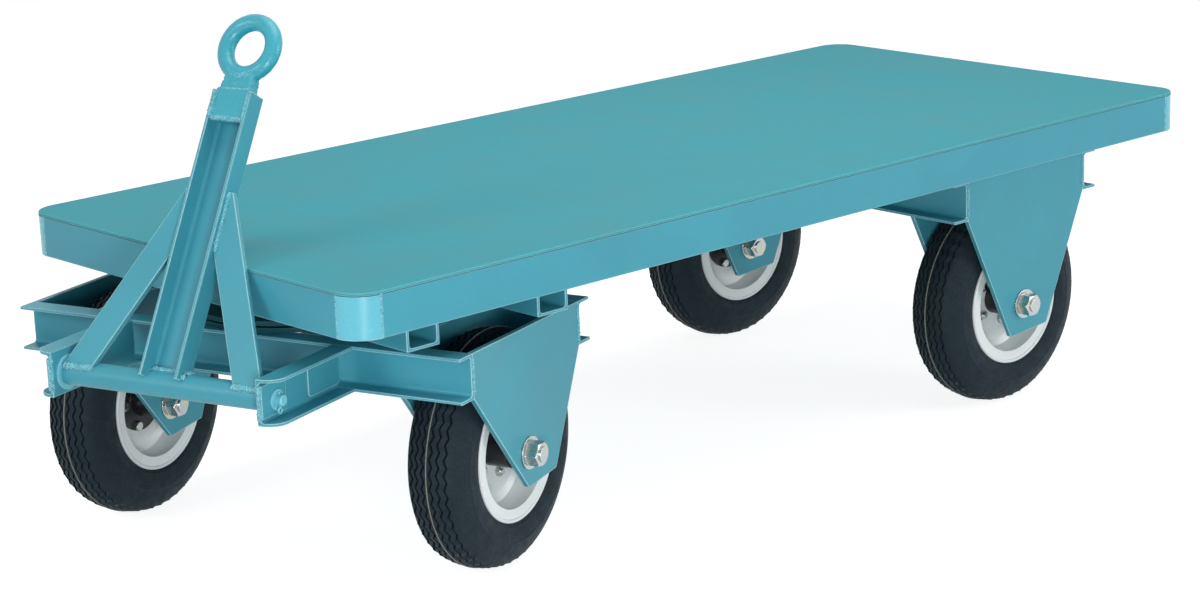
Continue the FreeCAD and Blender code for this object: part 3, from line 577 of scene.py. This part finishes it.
def tyre_grid(radius, half_width, bead_radius):
    """The tyre as a grid: rows go round, columns go across from bead to bead and back inside."""
    teeth = 50
    zigzag = (-1.0, -1 / 3, 1 / 3, 1.0, 1 / 3, -1 / 3)
    rows = teeth * len(zigzag)
    tread_half = half_width * 0.66
    columns = []
    wall = [(bead_radius + 0.001, 0.800), (0.1185, 0.800), (0.1225, 0.835), (0.1270, 0.885), (0.1285, 0.905),
            (0.1300, 0.903), (0.134, 0.930), (0.141, 0.958), (0.148, 0.965), (0.155, 0.952), (0.1562, 0.957),
            (0.1575, 0.945), (0.163, 0.918), (0.172, 0.862), (0.180, 0.798), (0.187, 0.732)]
    for reach, share in wall:
        columns.append((reach, -share * half_width, 0.0, "rubber"))
    ribs = 3
    pitch = tread_half / (ribs + 0.2)
    groove = 0.0042
    centres = [-(number + 0.62) * pitch for number in reversed(range(ribs))]
    centres += [(number + 0.62) * pitch for number in range(ribs)]

    def crown(x):
        return radius - 0.0012 - 0.0095 * (abs(x) / tread_half) ** 2.2

    columns.append((crown(tread_half), -tread_half, 0.0, "rubber"))
    ridge_placed = False
    for centre in centres:
        if centre > 0 and not ridge_placed:
            for x, lift in ((-0.0011, 0.0), (-0.0005, 0.0011), (0.0005, 0.0011), (0.0011, 0.0)):
                columns.append((crown(0) + lift, x, 0.0, "flash" if x < 0.0008 and x > -0.0014 else "rubber"))
            ridge_placed = True
        for offset, depth in ((-groove / 2, 0.0), (-groove / 2 + 0.0006, 0.0055),
                              (groove / 2 - 0.0006, 0.0055), (groove / 2, 0.0)):
            columns.append((crown(centre) - depth, centre + offset, 0.0028, "rubber"))
    columns.append((crown(tread_half), tread_half, 0.0, "rubber"))
    for reach, share in reversed(wall):
        columns.append((reach, share * half_width, 0.0, "rubber"))
    for reach, share in ((bead_radius + 0.001, 0.66), (0.125, 0.80), (0.150, 0.83), (0.172, 0.78),
                         (0.184, 0.5), (0.187, 0.0), (0.184, -0.5), (0.172, -0.78), (0.150, -0.83),
                         (0.125, -0.80), (bead_radius + 0.001, -0.66)):
        columns.append((reach, share * half_width, 0.0, "rubber"))
    points = []
    for row in range(rows):
        angle = 2 * math.pi * row / rows
        for reach, x, swing, _ in columns:
            x = x + swing * zigzag[row % len(zigzag)]
            points.append((x, reach * math.sin(angle), reach * math.cos(angle)))
    faces = []
    marks = []
    wide = len(columns)
    for row in range(rows):
        here = row * wide
        there = (row + 1) % rows * wide
        for column in range(wide):
            after = (column + 1) % wide
            faces.append((here + column, here + after, there + after, there + column))
            marks.append(1 if columns[column][3] == "flash" else 0)
    return points, faces, marks


bead_seat = 0.1018
lip_size = 0.0034
lip_lift = 0.0026
for wheel, place in wheels.items():
    tyre_high = span(f"{wheel}_tyre", place)[1]
    points, faces, marks = tyre_grid(tyre_high.z, tyre_high.x, bead_seat)
    mesh = bpy.data.meshes.new(f"{wheel}_casing")
    mesh.from_pydata(points, [], faces)
    mesh.materials.append(rubber)
    mesh.materials.append(pale_flash)
    mesh.polygons.foreach_set("material_index", marks)
    mesh.polygons.foreach_set("use_smooth", [True] * len(faces))
    mesh.update()
    casing = bpy.data.objects.new(f"{wheel}_casing", mesh)
    bpy.context.collection.objects.link(casing)
    casing.matrix_world = place
    mesh.set_sharp_from_angle(angle=math.radians(35))
    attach(casing, f"wheel_{wheel}")
    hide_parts(f"{wheel}_tyre")
    coat(rim_white, f"{wheel}_rim_outer", f"{wheel}_rim_inner")
    rim_high = span(f"{wheel}_rim_outer", place)[1]
    lips = bmesh.new()
    for side in (-1, 1):
        rings = []
        for number in range(96):
            angle = 2 * math.pi * number / 96
            ring = []
            for turn in range(12):
                around = math.pi * turn / 6
                reach = rim_high.z + lip_lift + lip_size * math.sin(around)
                x = side * (rim_high.x + 0.0002) + lip_size * math.cos(around)
                ring.append(lips.verts.new((x, reach * math.sin(angle), reach * math.cos(angle))))
            rings.append(ring)
        for number in range(96):
            for turn in range(12):
                lips.faces.new((rings[number][turn], rings[number][turn - 1], rings[number - 1][turn - 1],
                                rings[number - 1][turn]))
    built(f"{wheel}_rim_lips", lips, rim_white, f"wheel_{wheel}", place)
    coat(hub_black, f"{wheel}_hub")
    coat(bearing_metal, f"{wheel}_bearings")
    coat(zinc, f"{wheel}_rim_bolts")

# ---- floor, light and camera ----
# A pale studio floor with no walls, soft lamps above, in front and at the near side, and a long
# lens looking down at the drawbar end from the near front corner.
floor_mesh = bpy.data.meshes.new("floor")
floor_mesh.from_pydata([(-30, -30, 0), (30, -30, 0), (30, 30, 0), (-30, 30, 0)], [], [(0, 1, 2, 3)])
floor = bpy.data.objects.new("floor", floor_mesh)
bpy.context.collection.objects.link(floor)
pale = bpy.data.materials.new("pale_floor")
pale.use_nodes = True
tree = pale.node_tree
tree.nodes.clear()
seen = add(tree, "LightPath").outputs
shown = maths(tree, "MAXIMUM", seen["Is Camera Ray"], seen["Is Glossy Ray"])
shown = maths(tree, "MAXIMUM", shown, seen["Is Transmission Ray"])
cloth = add(tree, "BsdfDiffuse", color=(0.55, 0.565, 0.58, 1)).outputs[0]
glow = add(tree, "Emission", color=(1, 1, 1, 1), strength=maths(tree, "MULTIPLY", shown, 0.86)).outputs[0]
add(tree, "OutputMaterial", surface=add(tree, "AddShader", in_0=cloth, in_1=glow).outputs[0])
floor_mesh.materials.append(pale)

world = bpy.data.worlds.new("studio")
bpy.context.scene.world = world
world.use_nodes = True
tree = world.node_tree
tree.nodes.clear()
seen = add(tree, "LightPath").outputs
shown = maths(tree, "MAXIMUM", seen["Is Camera Ray"], seen["Is Glossy Ray"])
shown = maths(tree, "MAXIMUM", shown, seen["Is Transmission Ray"])
level = spread(tree, shown, 0.0, 1.0, 0.195, 1.0)
add(tree, "OutputWorld", surface=add(tree, "Background", color=(1, 1, 1, 1), strength=level).outputs[0])


def lamp(name, place, target, size, power):
    """A square soft lamp that points at the trailer."""
    light = bpy.data.lights.new(name, "AREA")
    light.size = size
    light.energy = power
    made = bpy.data.objects.new(name, light)
    bpy.context.collection.objects.link(made)
    made.location = place
    made.rotation_euler = (Vector(target) - Vector(place)).to_track_quat("-Z", "Y").to_euler()


lamp("overhead", (0.4, 0.2, 3.4), (0, 0.1, 0.4), 2.6, 58)
lamp("front_key", (-0.4, -4.4, 2.0), (0, -0.7, 0.4), 1.6, 44)
lamp("near_side", (4.0, 2.8, 1.5), (0, 0.6, 0.4), 1.8, 62)
lamp("low_fill", (3.5, -2.7, 0.6), (0.3, -0.2, 0.25), 1.0, 66)

azimuth = math.radians(47.808)
elevation = math.radians(14.792)
roll = math.radians(-2.077)
backward = Vector((math.sin(azimuth) * math.cos(elevation), -math.cos(azimuth) * math.cos(elevation),
                   math.sin(elevation)))
level_right = Vector((0, 0, 1)).cross(backward).normalized()
level_up = backward.cross(level_right)
right = level_right * math.cos(roll) + level_up * math.sin(roll)
up = level_up * math.cos(roll) - level_right * math.sin(roll)
view = bpy.data.cameras.new("camera")
view.sensor_width = 36.0
view.lens = 86.84
camera = bpy.data.objects.new("camera", view)
bpy.context.collection.objects.link(camera)
turn = Matrix((right, up, backward)).transposed().to_4x4()
camera.matrix_world = Matrix.Translation((3.8862, -3.5213, 1.6664)) @ turn
bpy.context.scene.camera = camera
bpy.context.scene.view_settings.view_transform = "Standard"
